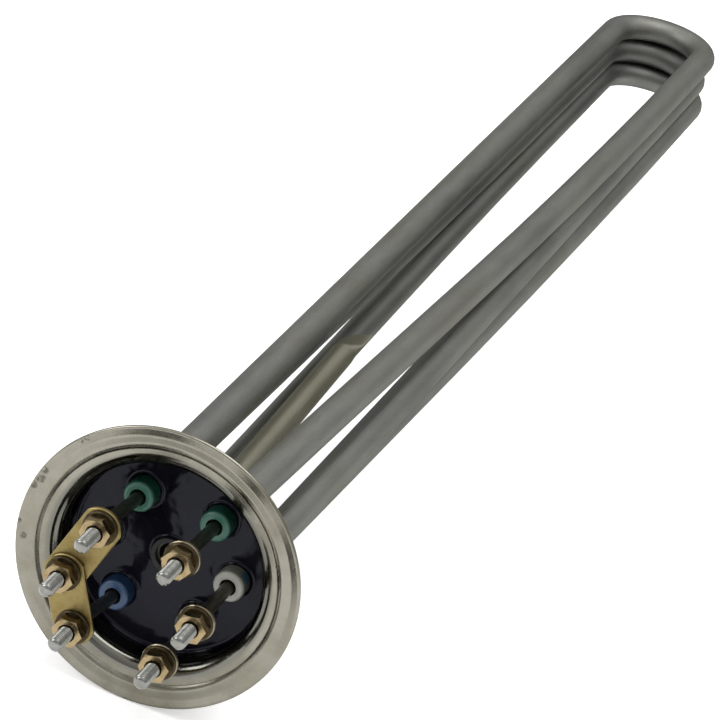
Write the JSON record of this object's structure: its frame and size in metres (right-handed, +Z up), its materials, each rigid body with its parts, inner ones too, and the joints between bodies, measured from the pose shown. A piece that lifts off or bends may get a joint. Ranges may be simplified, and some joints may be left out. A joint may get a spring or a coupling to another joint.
{
  "type": "dishwasher heating element",
  "caption": "Immersion heater: U-shaped sheathed tubes on a round pressed flange, with screw terminals, brass bridge and a probe pocket.",
  "frame": {"origin": "on the flange's axis, where the straight outer wall of its cup begins, which is the part that enters the tank's port", "axes": "+Y along the heating tubes into the water, -Y to the terminals, +X across each U, +Z up through the stack of tubes"},
  "size_m": [0.075, 0.5154, 0.075],
  "materials": {
    "flange_steel": "satin",
    "sheath_steel": "dull satin",
    "pocket_steel": "dull satin",
    "braze": "satin",
    "potting": "glossy",
    "sleeve": "matte",
    "bead_green": "glazed",
    "bead_white": "glazed",
    "bead_blue": "glazed",
    "stud_steel": "bright",
    "brass_bar": "satin",
    "brass_nut": "satin",
    "brass_washer": "satin",
    "spring_steel": "dark",
    "magnesia": "powder",
    "resistance_wire": "dull"
  },
  "bodies": {
    "root": {"bead_bottom_left": "bead_blue", "bead_bottom_right": "bead_blue", "bead_middle_left": "bead_white", "bead_middle_right": "bead_white", "bead_top_left": "bead_green", "bead_top_right": "bead_green", "braze_rings": "braze", "bridge_bar_inner": "brass_bar", "bridge_bar_outer": "brass_bar", "flange_cup": "flange_steel", "heating_wire_bottom": "resistance_wire", "heating_wire_middle": "resistance_wire", "heating_wire_top": "resistance_wire", "magnesia_bottom": "magnesia", "magnesia_middle": "magnesia", "magnesia_top": "magnesia", "nut_bottom_left": "brass_nut", "nut_bottom_right": "brass_nut", "nut_middle_left": "brass_nut", "nut_middle_right": "brass_nut", "nut_top_left": "brass_nut", "nut_top_right": "brass_nut", "pocket_sleeve": "sleeve", "potting_compound": "potting", "probe_pocket": "pocket_steel", "sheath_bottom": "sheath_steel", "sheath_middle": "sheath_steel", "sheath_top": "sheath_steel", "spring_washer_bottom_left": "spring_steel", "spring_washer_bottom_right": "spring_steel", "spring_washer_middle_left": "spring_steel", "spring_washer_middle_right": "spring_steel", "spring_washer_top_left": "spring_steel", "spring_washer_top_right": "spring_steel", "terminal_bottom_left": "stud_steel", "terminal_bottom_right": "stud_steel", "terminal_middle_left": "stud_steel", "terminal_middle_right": "stud_steel", "terminal_top_left": "stud_steel", "terminal_top_right": "stud_steel", "washer_bottom_left": "brass_washer", "washer_bottom_right": "brass_washer", "washer_middle_right": "brass_washer", "washer_top_right": "brass_washer"}
  },
  "joints": []
}
